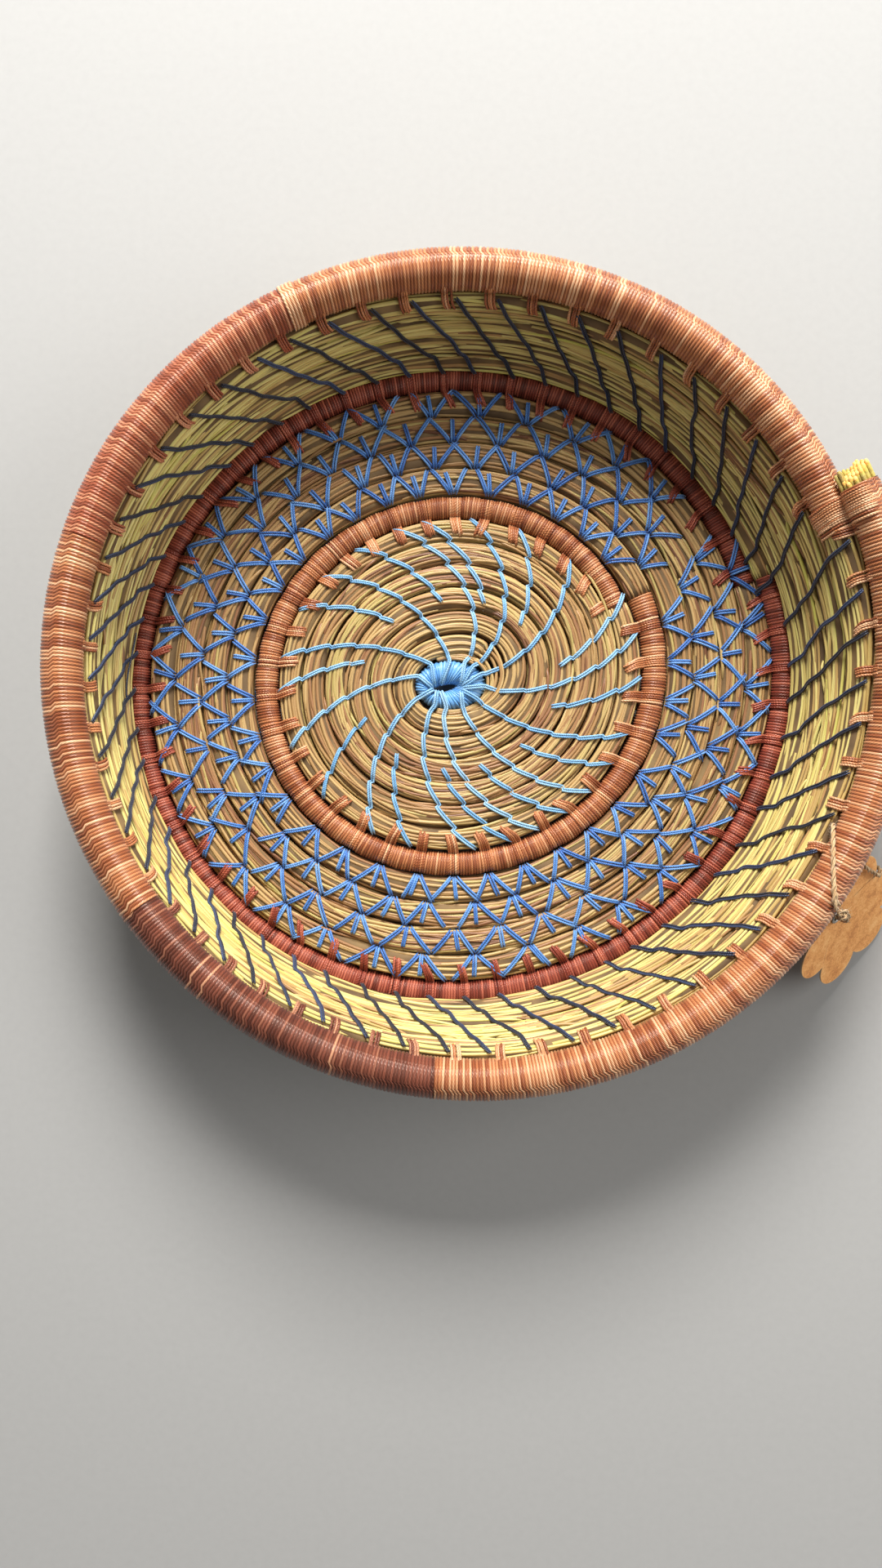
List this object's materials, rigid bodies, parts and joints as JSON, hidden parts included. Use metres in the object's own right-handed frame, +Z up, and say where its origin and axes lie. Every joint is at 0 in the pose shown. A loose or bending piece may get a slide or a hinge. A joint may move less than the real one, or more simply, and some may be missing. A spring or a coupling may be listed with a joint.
{
  "type": "coiled pine needle basket",
  "caption": "Shallow coiled pine needle basket with wrapped thread rings, a thick wrapped rim and a paper tag hung on twine.",
  "frame": {"origin": "centre of the basket's footprint at table height, measured without the tag and its twine", "axes": "+Z up out of the basket's mouth; +X towards the side where the rim's coil ends"},
  "size_m": [0.2606, 0.248, 0.0557],
  "materials": {
    "tan_needles": "dry bundled needles",
    "green_needles": "dry bundled needles",
    "sky_thread": "satin",
    "copper_thread": "satin",
    "dark_thread": "satin",
    "brown_thread": "satin",
    "navy_thread": "satin",
    "twine": "hairy jute",
    "kraft_card": "uncoated kraft card",
    "eyelet_metal": "dull"
  },
  "bodies": {
    "basket": {"floor_coil": "tan_needles", "wall_coil": "green_needles", "rim_core": "green_needles", "start_ring_wrap": "sky_thread", "copper_ring_wrap": "copper_thread", "dark_ring_wrap": "dark_thread", "rim_wrap_copper_a": "copper_thread", "rim_wrap_brown_a": "brown_thread", "rim_wrap_copper_b": "copper_thread", "rim_wrap_brown_b": "brown_thread", "rim_wrap_copper_c": "copper_thread", "swirl_stitches": "sky_thread", "wall_stitches": "navy_thread", "twine_over_rim": "twine", "twine_knot": "twine"},
    "tag": {"tag_loop": "twine", "tag_card": "kraft_card", "tag_eyelet": "eyelet_metal"}
  },
  "joints": [
    {"name": "tag_swing", "type": "hinge", "parent": "basket", "child": "tag", "pos_m": [0.10568, -0.07025, 0.04394], "axis": [-0.5388, -0.8425, 0], "range_deg": [0, 100]}
  ]
}
